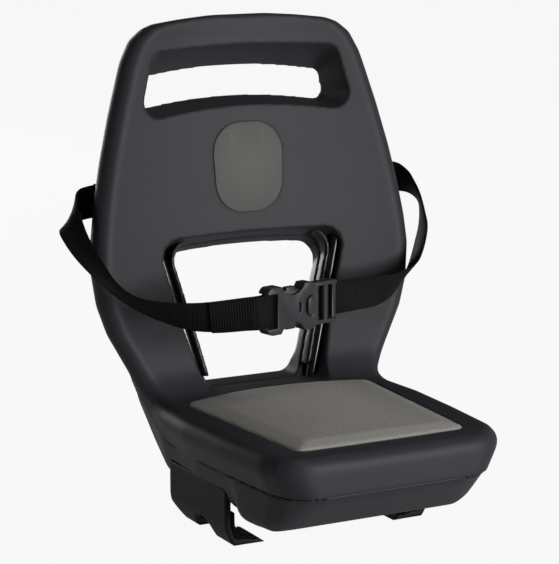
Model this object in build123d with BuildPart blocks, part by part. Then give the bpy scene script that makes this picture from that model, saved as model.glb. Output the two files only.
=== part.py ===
from build123d import *
import math
import os

os.makedirs("parts", exist_ok=True)

# Child seat for a bicycle's rear carrier, in millimetres.
# X runs across the seat, Y to the rear and Z up from the top of the carrier's rails.

# Outline of the shells
nose_y = -133.5               # front of the pan
nose_half = 94.5              # half width there, before the corners are rounded
pan_half = 104.5              # widest part of the pan
pan_wide_y = 5.0
waist_half = 99.0             # half width in the bend from pan to backrest
wide_height = 162.0           # widest part of the backrest
wide_half = 138.5
back_top = 349.5              # top of the backrest at mid width
top_half = 91.5               # half width there, before the corners are rounded
side_curve = 1.5              # how full the sides are above the widest part
low_curve = 2.0               # and below it
side_taper = 0.5              # the sides draw in towards the rear, mm for each mm of depth
bend_fullness = 0.35          # less so in the bend
nose_corner_radius = 28.0
top_corner_radius = 24.0
top_arch = 5.5                # the top edge falls by this much to its corners
rim_radius = 11.0             # rounding of the front edges, all the way round

# Side profile
lean = 0.125                  # the backrest leans to the rear, mm for each mm of height
lean_height = 100.0           # height at which the next depth is given
crest_y = 71.5                # foremost line of the side bolsters
pan_top = 60.0                # seating surface
seam_z = 30.0                 # parting of the shells round the pan
front_depth = 24.0            # from the bolsters to the parting behind the backrest
cover_depth = 14.0            # from that parting to the rear face
bend_radius = 26.0            # pan to backrest, at the front
parting_radius = 53.0         # the same bend along the parting
wall = 3.0
pan_wall = 6.5                # the pan is thicker, for the pad's recess

# Hollow of the backrest between the bolsters
dish_depth = 14.0
dish_top_depth = 8.0
dish_foot = 112.0             # height at which it reaches its depth
pan_hollow = 0.4

# Rear shell: a tray under the pan and a cover behind the backrest
seam_step = 1.5               # it stands back from the front shell's edge
tray_draft = 0.3
cover_draft = 0.45
tray_rake = 0.53              # front wall slopes in towards the bottom
cover_edge = 6.0              # bevel of its rear and bottom edges
base_bulge = 20.0             # the base is fuller than a round bend behind the pan

# Handle slot: a funnel from the front face to a smaller hole in the rear face
handle_front = (79.5, 93.0, 324.5, 269.5)  # half length at top, at bottom, upper and lower corner
handle_rear = (80.0, 83.0, 299.0, 275.5)
handle_arch = 11.0            # rise of its upper and lower edges to where their slopes would meet
arch_spread = 0.7             # share of an edge's length that its arch takes
handle_front_y = 98.0
handle_rear_y = 134.0
handle_corner_radius = 13.0
handle_rear_corner_radius = 7.0
funnel_gap = 0.3              # between the funnel and its hole in the rear shell
handle_reach = (-0.4, 1.15)    # the cut runs past both faces by these shares of its depth

# Opening in the lower back
opening_top = 182.0           # upper edge at mid width
opening_arch = 5.0
opening_half_top = 83.5
opening_half_foot = 52.0
opening_foot = 60.5
opening_front_y = 60.0        # depths between which the next two falls are given
opening_rear_y = 116.0
opening_top_fall = 35.0       # its upper wall falls towards the rear
opening_foot_fall = 1.5
opening_corner_radius = 17.0
opening_level = 0.58          # share of the depth at which the upper edge has its given height
opening_reach = (-0.2, 1.4)   # the cut runs past both faces by these shares of its depth
rim_inset = 7.8               # the rear shell's rim stands inside the opening, by this much a side
rim_wall = 4.0
rim_top_gap = 0.4             # its sides end this far under the upper wall
rim_top_wall = 3.5            # the cover's own wall over the opening
rim_forward = 10.0            # it stands forward of the parting
rim_foot = 68.0

# Seat pad
pad_front_y = -112.0
pad_front_half = 69.5
pad_rear_y = 48.0
pad_rear_half = 80.5
pad_bow = 23.0                # the rear edge bows back by this much
pad_bow_radius = 150.0
pad_corner_radius = 9.0
pad_recess = 3.0
pad_thickness = 5.5
pad_clearance = 0.4
pad_edge_radius = 2.5

# Inlay on the backrest
inlay_height = 228.0
inlay_half_top = 31.0
inlay_half_foot = 28.0
inlay_tall = 70.0
inlay_recess = 1.2
inlay_proud = 0.6
inlay_corner_radius = 24.0

# Steel stays inside the shells, seen in the opening
stay_radius = 5.0
stay_gap = 2.5                # rod's axis from the side of the opening
stay_forward = 4.0            # rod's axis forward of the parting
stay_low = 22.0               # height of the run under the pan
stay_front_y = -50.0
stay_top = 216.0
stay_bend_radius = 32.0
stay_clearance = 0.4
cradle_width = 15.0
cradle_long = 8.0
cradle_rows = (-40.0, 10.0)   # cradles under the pan
cradle_up = 104.0             # cradle behind the backrest, up along the lean

# Carrier clamps
pocket_inner = 26.0           # inner end of the pockets in the tray
pocket_height = 13.3
slide_clearance = 0.3
clamp_outer = 88.0            # outer face of the clamp's plate
clamp_inner = 40.0            # inner end of its flange
clamp_front_y = -34.0
clamp_rear_y = 62.0
clamp_flange = 6.0
clamp_plate = 5.0
claw_bottom = -30.0
claw_thick = 5.0
claw_reach = 26.0
claw_lip = 4.0
claw_lip_height = 9.0
claw_front_end_y = -5.0       # rear end of the front claw
claw_rear_start_y = 24.0      # front end of the rear claw
claw_slope_y = 47.0           # the rear claw's lower corner is cut off from here
claw_slope_z = -19.0
notch_top = -17.0
notch_corner_radius = 11.6
clamp_travel = 12.0           # each clamp slides inwards by this much
lining = 3.0                  # rubber linings of the claws
lining_top = -4.0
bolt_x = 52.0
bolt_rows = (-16.0, 44.0)
bolt_radius = 3.0
bolt_head_radius = 5.0
bolt_head_height = 3.0
bolt_clearance = 0.35
washer_radius = 6.0
washer_thick = 1.4
nut_radius = 5.7
nut_height = 5.0

# Screws that hold the shells together
screw_radius = 2.0
screw_head_radius = 4.0
screw_head_height = 2.6
screw_head_clearance = 0.5
screw_column_radius = 6.0
screw_seat = 4.0              # plastic under the head
screw_grip = 11.0             # length in the front shell
back_screws = ((104.0, 120.0),)  # across, and up along the backrest
base_screws = ((60.0, -84.0),)   # across, and to the rear

# Waist strap
strap_width = 25.0
strap_thick = 1.6
strap_height = 210.0
strap_gap = 0.4
strap_back_inset = 25.5       # it lies flat on the rear face up to this far inside the widest part
strap_lie = 10.0              # and is drawn straight from here inwards
guide_x = 74.0                # guides on the rear face
guide_width = 12.0
guide_thick = 3.0
guide_root = 1.0              # it runs into the rear face by this much
guide_corner_radius = 2.0

# Buckle
buckle_at = (-3.0, 9.0, 135.5)
buckle_yaw = 13.0
housing_end = -36.0           # strap end of the housing
mouth = 12.0                  # where housing and tongue meet
buckle_width = 36.0
buckle_thick = 11.0
buckle_wall = 2.3
buckle_corner_radius = 5.0
window_radius = 13.0
window_x = -11.0
window_depth = 7.5
bar_width = 3.6
bar_thick = 4.0
web_slot = 6.0
tongue_width = 33.0
tongue_thick = 7.5
prong_gap = 8.3               # inner side of each prong from the middle
prong_width = 5.5
prong_thick = 5.2
prong_end = -19.0
lug_long = 9.0
lug_out = 2.4
throat_half = 14.4
throat_end_gap = 2.5          # behind the prongs
ladder_corner_radius = 2.0
root = 1.0                    # joined shapes run into each other by this much
button_x = 6.0
button_long = 15.0
button_wide = 7.5
button_proud = 1.8
button_flange = 1.0
button_lap = 1.0              # the flange reaches this far under each side of the hole
button_clearance = 0.3
fold_long = 16.0              # doubled webbing at the bars

rise = 16.0                   # construction solids reach this far past the shells


def leaned(y, z):
    return y + lean * (z - lean_height)


# Path along the seating surface: over the pan, round the bend and up the backrest
back_turn = math.pi / 2 - math.atan(lean)
bend_y = leaned(crest_y, pan_top) - bend_radius * math.tan(back_turn / 2)
bend_top = pan_top + bend_radius * (1 - math.cos(back_turn))
pan_length = bend_y - nose_y
bend_length = bend_radius * back_turn


def path_at(z):
    return pan_length + bend_length + (z - bend_top) / math.sin(back_turn)


path_wide = path_at(wide_height)
path_top = path_at(back_top)


# Plane across the path: X across the seat, Y into the material
def path_plane(s):
    turn = min(max((s - pan_length) / bend_radius, 0), back_turn)
    past = max(s - pan_length - bend_length, 0)
    y = nose_y + min(s, pan_length) + bend_radius * math.sin(turn) + past * math.cos(turn)
    z = pan_top + bend_radius * (1 - math.cos(turn)) + past * math.sin(turn)
    return Plane(origin=(0, y, z), x_dir=(1, 0, 0), z_dir=(0, math.cos(turn), math.sin(turn)))


def bend_share(s):
    return min(max((s - pan_length) / bend_length, 0), 1)


path_pan_wide = pan_wide_y - nose_y
path_waist = pan_length + bend_length / 2


def side_half(s):
    if s < path_pan_wide:
        share = (path_pan_wide - s) / path_pan_wide
        return pan_half - (pan_half - nose_half) * share**side_curve
    if s < path_waist:
        share = (s - path_pan_wide) / (path_waist - path_pan_wide)
        return pan_half - (pan_half - waist_half) * share**low_curve
    if s < path_wide:
        share = (path_wide - s) / (path_wide - path_waist)
        return wide_half - (wide_half - waist_half) * share**low_curve
    share = (s - path_wide) / (path_top - path_wide)
    return wide_half - (wide_half - top_half) * share**side_curve


def hollow(s):
    if s > path_wide:
        share = (s - path_wide) / (path_top - path_wide)
        return dish_depth + (dish_top_depth - dish_depth) * share
    share = (s - pan_length) / (path_at(dish_foot) - pan_length)
    return pan_hollow + (dish_depth - pan_hollow) * min(max(share, 0), 1)


# How far a quarter round stands back at a distance from its end
def round_off(radius, distance):
    left = min(max(radius - distance, 0), radius)
    return radius - math.sqrt(radius**2 - left**2)


def outline_half(s, inset):
    from_top = path_top - inset - s
    half = side_half(s) - inset
    half -= round_off(nose_corner_radius - inset, s - inset)
    half -= round_off(top_corner_radius - inset, max(from_top - top_arch, 0))
    if from_top < top_arch:
        half *= math.sqrt(from_top / top_arch)
    return half


def path_stations(inset):
    nose_steps = (0, 0.03, 0.1, 0.24, 0.5, 1)
    bend_steps = (0, 0.14, 0.29, 0.43, 0.57, 0.71, 0.86, 1)
    low_steps = (0, 0.45, 1)
    up_steps = (0.12, 0.26, 0.42, 0.6, 0.76)
    top_steps = (1.4, 0.75, 0.4, 0.25, 0.12, 0.03)
    if inset > 0:
        nose_steps = (0, 0.1, 0.4, 1)
        bend_steps = (0, 0.25, 0.5, 0.75, 1)
        low_steps = (0, 0.45, 1)
        up_steps = (0.26, 0.6)
        top_steps = (1.4, 0.4, 0.1)
    nose = [inset + step * nose_corner_radius for step in nose_steps]
    nose += [(nose[-1] + path_pan_wide) / 2, path_pan_wide]
    bend = [pan_length + step * bend_length for step in bend_steps]
    low = [path_at(dish_foot) + step * (path_wide - path_at(dish_foot)) for step in low_steps]
    up = [path_wide + step * (path_top - path_wide) for step in up_steps]
    top = [path_top - inset - step * top_corner_radius for step in top_steps]
    return [*nose, *bend, *low, *up, *top]


def taper_at(s):
    return side_taper - bend_fullness * math.sin(math.pi * bend_share(s))


def parting_depth(s):
    return pan_top - seam_z + (front_depth - pan_top + seam_z) * bend_share(s)


# How far a side of the front shell has drawn in at a depth
def side_fall(s, depth):
    turn = math.atan(taper_at(s))
    straight = depth - rim_radius * (1 + math.sin(turn))
    return rim_radius * (1 - math.cos(turn)) + taper_at(s) * straight


# Front shell's outer form
def front_form():
    with BuildPart() as form:
        for s in path_stations(0):
            turn = math.atan(taper_at(s))
            mid_turn = (turn - math.pi / 2) / 2
            half = outline_half(s, 0)
            front = round_off(rim_radius, s) + round_off(rim_radius, path_top - s)
            depth = parting_depth(s) + rise / 2
            deep = hollow(s) * (half / side_half(s)) ** 2
            inner = half - rim_radius
            centre = front + rim_radius
            mid = (inner + rim_radius * math.cos(mid_turn), centre + rim_radius * math.sin(mid_turn))
            low = (inner + rim_radius * math.cos(turn), centre + rim_radius * math.sin(turn))
            foot = low[0] - taper_at(s) * (depth - low[1])
            with BuildSketch(path_plane(s)):
                with BuildLine():
                    ThreePointArc((-inner, front), (0, front + deep), (inner, front))
                    ThreePointArc((inner, front), mid, low)
                    Polyline(low, (foot, depth), (-foot, depth), (-low[0], low[1]))
                    ThreePointArc((-low[0], low[1]), (-mid[0], mid[1]), (-inner, front))
                make_face()
        loft(ruled=True)
    return form.part


# Room inside the front shell, with flat sides
def front_room_form():
    with BuildPart() as form:
        for s in path_stations(wall):
            half = outline_half(s, wall)
            front = wall + (pan_wall - wall) * (1 - bend_share(s))
            front += round_off(rim_radius - wall, s - wall)
            front += round_off(rim_radius - wall, path_top - wall - s)
            depth = parting_depth(s) + 2 * rise
            deep = front + hollow(s) * (half / (side_half(s) - wall)) ** 2
            inner = half - rim_radius
            low = front + rim_radius
            slant = wall * (math.hypot(1, taper_at(s)) - 1)
            side = half - side_fall(s, low) - slant
            foot = side - taper_at(s) * (depth - low)
            with BuildSketch(path_plane(s)):
                with BuildLine():
                    Polyline(
                        (-inner, front),
                        (-inner / 2, deep),
                        (inner / 2, deep),
                        (inner, front),
                        (side, low),
                        (foot, depth),
                        (-foot, depth),
                        (-side, low),
                        close=True,
                    )
                make_face()
        loft(ruled=True)
    return form.part


# Rear shell's outer form; with an inset it is the room inside
def rear_form(inset):
    with BuildPart() as form:
        for s in path_stations(seam_step + inset):
            share = bend_share(s)
            parting = parting_depth(s)
            rear = pan_top + (front_depth + cover_depth - pan_top) * share - inset
            rear += base_bulge * math.sin(math.pi * share)
            rear = min(rear, parting + (s - seam_step - inset) / tray_rake + cover_edge)
            half = outline_half(s, seam_step + inset) - side_fall(s, parting)
            draft = tray_draft + (cover_draft - tray_draft) * share
            start = parting - rise / 2 - inset
            bevel = min(cover_edge - inset, (rear - parting) / 2)
            end_half = half - draft * (rear - bevel - parting)
            with BuildSketch(path_plane(s)):
                with BuildLine():
                    Polyline(
                        (-half, start),
                        (half, start),
                        (half, parting),
                        (end_half, rear - bevel),
                        (end_half - bevel, rear),
                        (bevel - end_half, rear),
                        (-end_half, rear - bevel),
                        (-half, parting),
                        close=True,
                    )
                make_face()
        loft(ruled=True)
    return form.part


# Rounded outline with arched upper and lower edges
def arched_outline(half_top, half_foot, top, foot, arch, radius):
    flat_top = arch_spread * half_top**2 / arch
    flat_foot = arch_spread * half_foot**2 / arch
    return FilletPolyline(
        (-half_foot, foot),
        (0, foot + arch),
        (half_foot, foot),
        (half_top, top),
        (0, top + arch),
        (-half_top, top),
        close=True,
        radius=[radius, flat_foot, radius, radius, flat_top, radius],
    )


# With a grown outline it is the hidden side of the wall, with plain corners
def handle_funnel(grow):
    with BuildPart() as funnel:
        for share in handle_reach:
            y = handle_front_y + share * (handle_rear_y - handle_front_y)
            sizes = [front + share * (rear - front) for front, rear in zip(handle_front, handle_rear)]
            radius = 0
            if grow == 0:
                radius = handle_corner_radius + share * (handle_rear_corner_radius - handle_corner_radius)
            half_top, half_foot, top, foot = sizes
            with BuildSketch(Plane.XZ.offset(-y)):
                with BuildLine():
                    arched_outline(
                        half_top + grow, half_foot + grow, top + grow, foot - grow, handle_arch, radius
                    )
                make_face()
        loft()
    return funnel.part


# Opening in the lower back, drawn in at the sides and the top
def back_opening(inset, top_drop, foot_drop, radius=opening_corner_radius):
    with BuildPart() as opening:
        for share in opening_reach:
            y = opening_front_y + share * (opening_rear_y - opening_front_y)
            top = opening_top - opening_arch - opening_top_fall * (share - opening_level) - top_drop
            foot = opening_foot - opening_foot_fall * share - foot_drop
            half_top = opening_half_top - inset
            half_foot = opening_half_foot - inset
            arch_radius = half_top**2 / opening_arch / 2
            with BuildSketch(Plane.XZ.offset(-y)):
                with BuildLine():
                    FilletPolyline(
                        (-half_foot, foot),
                        (half_foot, foot),
                        (half_top, top),
                        (0, top + opening_arch),
                        (-half_top, top),
                        close=True,
                        radius=[radius / 2, radius / 2, radius, arch_radius, radius],
                    )
                make_face()
        loft()
    return opening.part


# Plane of the parting behind the backrest: X across, Y up along the lean, Z to the front
back_plane = Plane(
    origin=(0, leaned(crest_y + front_depth, lean_height), lean_height),
    x_dir=(1, 0, 0),
    z_dir=(0, -1, lean),
)


def pad_outline(grow):
    return FilletPolyline(
        (-pad_front_half - grow, pad_front_y - grow),
        (pad_front_half + grow, pad_front_y - grow),
        (pad_rear_half + grow, pad_rear_y + grow),
        (0, pad_rear_y + pad_bow + grow),
        (-pad_rear_half - grow, pad_rear_y + grow),
        close=True,
        radius=[pad_corner_radius, pad_corner_radius, pad_corner_radius, pad_bow_radius, pad_corner_radius],
    )


def inlay_prism():
    with BuildPart() as prism:
        with BuildSketch(back_plane):
            middle = (inlay_height - lean_height) / math.sin(back_turn)
            with BuildLine():
                FilletPolyline(
                    (-inlay_half_foot, middle - inlay_tall / 2),
                    (inlay_half_foot, middle - inlay_tall / 2),
                    (inlay_half_top, middle + inlay_tall / 2),
                    (-inlay_half_top, middle + inlay_tall / 2),
                    close=True,
                    radius=inlay_corner_radius,
                )
            make_face()
        extrude(amount=front_depth)
    return prism.part


# Stay: a bent rod from under the pan up a side of the opening
def opening_side(z):
    share = (z - opening_foot) / (opening_top - opening_arch - opening_foot)
    return opening_half_foot + share * (opening_half_top - opening_half_foot)


def stay_point(side, z):
    across = opening_side(z) - stay_gap
    return (side * across, leaned(crest_y + front_depth - stay_forward, z), z)


def stay_rod(side, radius):
    low_corner = stay_point(side, stay_low)
    with BuildPart() as rod:
        with BuildLine() as route:
            FilletPolyline(
                (low_corner[0], stay_front_y, stay_low),
                low_corner,
                stay_point(side, stay_top),
                radius=stay_bend_radius,
            )
        with BuildSketch(Plane(origin=route.line @ 0, z_dir=route.line % 0)):
            Circle(radius)
        sweep()
    return rod.part


def both_sides(spots):
    return [(side * across, along) for across, along in spots for side in (-1, 1)]


# Solid ahead of the parting of the two shells
with BuildPart() as ahead:
    parting_y = crest_y + front_depth
    high = back_top + rise
    with BuildSketch(Plane.YZ):
        with BuildLine():
            FilletPolyline(
                (nose_y - rise, seam_z),
                (leaned(parting_y, seam_z), seam_z),
                (leaned(parting_y, high), high),
                (nose_y - rise, high),
                close=True,
                radius=[0, parting_radius, 0, 0],
            )
        make_face()
    extrude(amount=wide_half + rise, both=True)

outer_form = front_form()
cover_form = rear_form(0)

# Rear end of the handle's funnel, which passes through the rear shell
with BuildPart() as funnel_end:
    add(handle_funnel(wall))
    add(cover_form, mode=Mode.INTERSECT)
    add(ahead.part, mode=Mode.SUBTRACT)

# Room inside the front shell, less the walls round its openings and the screws' columns
with BuildPart() as front_room:
    add(front_room_form())
    add(handle_funnel(wall), mode=Mode.SUBTRACT)
    add(back_opening(-wall, -wall, wall, radius=0), mode=Mode.SUBTRACT)
    with BuildSketch(Plane.XY.offset(pan_top - pad_recess - wall)):
        with BuildLine():
            pad_outline(pad_clearance + wall)
        make_face()
    extrude(amount=rise, mode=Mode.SUBTRACT)
    with BuildSketch(back_plane):
        with Locations(*both_sides(back_screws)):
            Circle(screw_column_radius)
    extrude(amount=front_depth, mode=Mode.SUBTRACT)
    with BuildSketch(Plane.XY.offset(seam_z)):
        with Locations(*both_sides(base_screws)):
            Circle(screw_column_radius)
    extrude(amount=pan_top - seam_z, mode=Mode.SUBTRACT)

with BuildPart() as front_shell:
    add(outer_form)
    add(ahead.part, mode=Mode.INTERSECT)
    add(front_room.part, mode=Mode.SUBTRACT)
    add(funnel_end.part)
    add(handle_funnel(0), mode=Mode.SUBTRACT)
    add(back_opening(0, 0, 0), mode=Mode.SUBTRACT)
    with BuildSketch(Plane.XY.offset(pan_top - pad_recess)):
        with BuildLine():
            pad_outline(pad_clearance)
        make_face()
    extrude(amount=rise, mode=Mode.SUBTRACT)
    add(inlay_prism() - outer_form.moved(Location((0, inlay_recess, 0))), mode=Mode.SUBTRACT)
    for side in (-1, 1):
        add(stay_rod(side, stay_radius + stay_clearance), mode=Mode.SUBTRACT)
    with BuildSketch(back_plane):
        with Locations(*both_sides(back_screws)):
            Circle(screw_radius)
    extrude(amount=screw_grip, mode=Mode.SUBTRACT)
    with BuildSketch(Plane.XY.offset(seam_z)):
        with Locations(*both_sides(base_screws)):
            Circle(screw_radius)
    extrude(amount=screw_grip, mode=Mode.SUBTRACT)
front_shell.part.label = "front_shell"
export_step(front_shell.part, "parts/front_shell.step")

# Room inside the rear shell, less what stands in it
stay_x = opening_side(stay_low) - stay_gap
cradle_height = lean_height + cradle_up * math.sin(back_turn)
cradle_x = opening_side(cradle_height) - stay_gap
pocket_ceiling = pocket_height + wall
with BuildPart() as rear_room:
    add(rear_form(wall))
    add(back_opening(rim_inset, -rim_top_wall, wall, radius=0), mode=Mode.SUBTRACT)
    with BuildSketch(back_plane):
        with Locations(*both_sides(back_screws)):
            Circle(screw_column_radius)
        with Locations((-cradle_x, cradle_up), (cradle_x, cradle_up)):
            Rectangle(cradle_width, cradle_long)
    extrude(amount=-cover_depth, mode=Mode.SUBTRACT)
    with BuildSketch(Plane.XY):
        with Locations(*both_sides(base_screws)):
            Circle(screw_column_radius)
    extrude(amount=seam_z, mode=Mode.SUBTRACT)
    with BuildSketch(Plane.XY):
        for row in cradle_rows:
            with Locations((-stay_x, row), (stay_x, row)):
                Rectangle(cradle_width, cradle_long)
    extrude(amount=stay_low, mode=Mode.SUBTRACT)
    with BuildSketch(Plane.XY.offset(-rise)):
        for side in (-1, 1):
            inner = pocket_inner - wall
            middle = (clamp_front_y + clamp_rear_y) / 2
            long = clamp_rear_y - clamp_front_y + 2 * (slide_clearance + wall)
            with Locations((side * (inner + wide_half / 2), middle)):
                Rectangle(wide_half, long)
    extrude(amount=rise + pocket_ceiling, mode=Mode.SUBTRACT)

# Rim of the rear shell that stands forward at the sides of the opening
with BuildPart() as rim:
    with BuildSketch(back_plane.offset(-cover_depth / 2)):
        with Locations((0, (rim_foot + back_top) / 2 - lean_height)):
            Rectangle(2 * wide_half, back_top - rim_foot)
    extrude(amount=cover_depth / 2 + rim_forward)
    add(back_opening(rim_inset, rim_top_gap, wall), mode=Mode.INTERSECT)
    add(back_opening(rim_inset + rim_wall, 0, 0), mode=Mode.SUBTRACT)

# Guides for the strap on the rear face
strap_up = (strap_height - lean_height) / math.sin(back_turn)
guide_room = strap_thick + 2 * strap_gap
with BuildPart() as guides:
    with BuildSketch(back_plane.offset(guide_root - cover_depth)):
        with Locations((-guide_x, strap_up), (guide_x, strap_up)):
            RectangleRounded(guide_width, strap_width + 2 * (strap_gap + guide_thick), guide_corner_radius)
    extrude(amount=-guide_root - guide_room - guide_thick)
    with BuildSketch(back_plane.offset(-cover_depth)):
        with Locations((-guide_x, strap_up), (guide_x, strap_up)):
            Rectangle(2 * guide_width, strap_width + 2 * strap_gap)
    extrude(amount=-guide_room, mode=Mode.SUBTRACT)

with BuildPart() as rear_shell:
    add(cover_form)
    add(ahead.part, mode=Mode.SUBTRACT)
    add(rear_room.part, mode=Mode.SUBTRACT)
    add(handle_funnel(wall + funnel_gap), mode=Mode.SUBTRACT)
    add(back_opening(rim_inset + rim_wall, 0, 0), mode=Mode.SUBTRACT)
    add(rim.part)
    add(guides.part)
    with BuildSketch(back_plane.offset(-cover_depth / 2)):
        with Locations((-cradle_x, cradle_up), (cradle_x, cradle_up)):
            Rectangle(cradle_width, cradle_long)
    extrude(amount=cover_depth / 2 + stay_forward)
    for side in (-1, 1):
        add(stay_rod(side, stay_radius), mode=Mode.SUBTRACT)
    with BuildSketch(Plane.XY.offset(-rise)):
        for side in (-1, 1):
            middle = (clamp_front_y + clamp_rear_y) / 2
            with Locations((side * (pocket_inner + wide_half / 2), middle)):
                Rectangle(wide_half, clamp_rear_y - clamp_front_y + 2 * slide_clearance)
    extrude(amount=rise + pocket_height, mode=Mode.SUBTRACT)
    with BuildSketch(Plane.XY):
        for row in bolt_rows:
            with Locations((-bolt_x, row), (bolt_x, row)):
                Circle(bolt_radius)
    extrude(amount=seam_z, mode=Mode.SUBTRACT)
    with BuildSketch(back_plane):
        with Locations(*both_sides(back_screws)):
            Circle(screw_radius + screw_head_clearance / 2)
    extrude(amount=-2 * cover_depth, mode=Mode.SUBTRACT)
    with BuildSketch(back_plane.offset(-screw_seat)):
        with Locations(*both_sides(back_screws)):
            Circle(screw_head_radius + screw_head_clearance)
    extrude(amount=-cover_depth, mode=Mode.SUBTRACT)
    with BuildSketch(Plane.XY.offset(seam_z)):
        with Locations(*both_sides(base_screws)):
            Circle(screw_radius + screw_head_clearance / 2)
    extrude(amount=-seam_z, mode=Mode.SUBTRACT)
    with BuildSketch(Plane.XY.offset(seam_z - screw_seat)):
        with Locations(*both_sides(base_screws)):
            Circle(screw_head_radius + screw_head_clearance)
    extrude(amount=-seam_z, mode=Mode.SUBTRACT)
rear_shell.part.label = "rear_shell"
export_step(rear_shell.part, "parts/rear_shell.step")

with BuildPart() as seat_pad:
    with BuildSketch(Plane.XY.offset(pan_top - pad_recess)):
        with BuildLine():
            pad_outline(0)
        make_face()
    extrude(amount=pad_thickness)
    fillet(seat_pad.faces().sort_by(Axis.Z)[-1].edges(), radius=pad_edge_radius)
seat_pad.part.label = "seat_pad"
export_step(seat_pad.part, "parts/seat_pad.step")

with BuildPart() as back_inlay:
    add(inlay_prism())
    add(outer_form.moved(Location((0, -inlay_proud, 0))), mode=Mode.INTERSECT)
    add(outer_form.moved(Location((0, inlay_recess, 0))), mode=Mode.SUBTRACT)
back_inlay.part.label = "back_inlay"
export_step(back_inlay.part, "parts/back_inlay.step")

with BuildPart() as left_stay:
    add(stay_rod(-1, stay_radius))
left_stay.part.label = "left_stay"
export_step(left_stay.part, "parts/left_stay.step")

with BuildPart() as right_stay:
    add(stay_rod(1, stay_radius))
right_stay.part.label = "right_stay"
export_step(right_stay.part, "parts/right_stay.step")


# Clamp on one side: a flange that slides in its pocket, a plate and two claws
flange_top = pocket_height - slide_clearance
flange_low = flange_top - clamp_flange
claw_top = claw_bottom + claw_thick


def clamp_body(side):
    with BuildPart() as clamp:
        with BuildSketch(Plane.XZ.offset(-clamp_front_y)):
            tip = clamp_outer - claw_reach
            plate = clamp_outer - clamp_plate
            with BuildLine():
                Polyline(
                    (side * clamp_inner, flange_low),
                    (side * clamp_inner, flange_top),
                    (side * clamp_outer, flange_top),
                    (side * clamp_outer, claw_bottom),
                    (side * tip, claw_bottom),
                    (side * tip, claw_bottom + claw_lip_height),
                    (side * (tip + claw_lip), claw_bottom + claw_lip_height),
                    (side * (tip + claw_lip), claw_top),
                    (side * plate, claw_top),
                    (side * plate, flange_low),
                    close=True,
                )
            make_face()
        extrude(amount=clamp_front_y - clamp_rear_y)
        with BuildSketch(Plane.YZ):
            with BuildLine():
                FilletPolyline(
                    (claw_front_end_y, claw_bottom - rise),
                    (claw_front_end_y, notch_top),
                    (claw_rear_start_y, notch_top),
                    (claw_rear_start_y, claw_bottom - rise),
                    close=True,
                    radius=[0, notch_corner_radius, notch_corner_radius, 0],
                )
            make_face()
            with BuildLine():
                Polyline(
                    (claw_slope_y, claw_bottom),
                    (clamp_rear_y, claw_slope_z),
                    (clamp_rear_y + rise, claw_slope_z),
                    (clamp_rear_y + rise, claw_bottom - rise),
                    (claw_slope_y, claw_bottom - rise),
                    close=True,
                )
            make_face()
        extrude(amount=2 * clamp_outer, both=True, mode=Mode.SUBTRACT)
        with BuildSketch(Plane.XY):
            for row in bolt_rows:
                with Locations((side * (bolt_x + clamp_travel / 2), row)):
                    SlotCenterToCenter(clamp_travel, 2 * (bolt_radius + bolt_clearance))
        extrude(amount=pocket_height, mode=Mode.SUBTRACT)
    return clamp.part


# Lining of a claw: along the plate and over the claw
def claw_lining(side, start, end):
    with BuildPart() as liner:
        with BuildSketch(Plane.XZ.offset(-start)):
            plate = clamp_outer - clamp_plate
            lip = clamp_outer - claw_reach + claw_lip
            with BuildLine():
                Polyline(
                    (side * plate, lining_top),
                    (side * plate, claw_top),
                    (side * lip, claw_top),
                    (side * lip, claw_top + lining),
                    (side * (plate - lining), claw_top + lining),
                    (side * (plate - lining), lining_top),
                    close=True,
                )
            make_face()
        extrude(amount=start - end)
    return liner.part


with BuildPart() as left_clamp:
    add(clamp_body(-1))
left_clamp.part.label = "left_clamp"
export_step(left_clamp.part, "parts/left_clamp.step")

with BuildPart() as right_clamp:
    add(clamp_body(1))
right_clamp.part.label = "right_clamp"
export_step(right_clamp.part, "parts/right_clamp.step")

with BuildPart() as left_front_lining:
    add(claw_lining(-1, clamp_front_y, claw_front_end_y))
left_front_lining.part.label = "left_front_lining"
export_step(left_front_lining.part, "parts/left_front_lining.step")

with BuildPart() as left_rear_lining:
    add(claw_lining(-1, claw_rear_start_y, claw_slope_y))
left_rear_lining.part.label = "left_rear_lining"
export_step(left_rear_lining.part, "parts/left_rear_lining.step")

with BuildPart() as right_front_lining:
    add(claw_lining(1, clamp_front_y, claw_front_end_y))
right_front_lining.part.label = "right_front_lining"
export_step(right_front_lining.part, "parts/right_front_lining.step")

with BuildPart() as right_rear_lining:
    add(claw_lining(1, claw_rear_start_y, claw_slope_y))
right_rear_lining.part.label = "right_rear_lining"
export_step(right_rear_lining.part, "parts/right_rear_lining.step")

# Bolts that hold the clamps up against the tray
washer_low = flange_low - slide_clearance - washer_thick
bolt_spots = [(side * bolt_x, row) for row in bolt_rows for side in (-1, 1)]
with BuildPart() as clamp_bolts:
    with BuildSketch(Plane.XY.offset(washer_low - bolt_head_height)):
        with Locations(*bolt_spots):
            RegularPolygon(bolt_head_radius, 6)
    extrude(amount=bolt_head_height)
    with BuildSketch(Plane.XY.offset(washer_low)):
        with Locations(*bolt_spots):
            Circle(bolt_radius)
    extrude(amount=pocket_ceiling + nut_height - washer_low)
clamp_bolts.part.label = "clamp_bolts"
export_step(clamp_bolts.part, "parts/clamp_bolts.step")

with BuildPart() as clamp_washers:
    with BuildSketch(Plane.XY.offset(washer_low)):
        with Locations(*bolt_spots):
            Circle(washer_radius)
            Circle(bolt_radius, mode=Mode.SUBTRACT)
    extrude(amount=washer_thick)
clamp_washers.part.label = "clamp_washers"
export_step(clamp_washers.part, "parts/clamp_washers.step")

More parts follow.
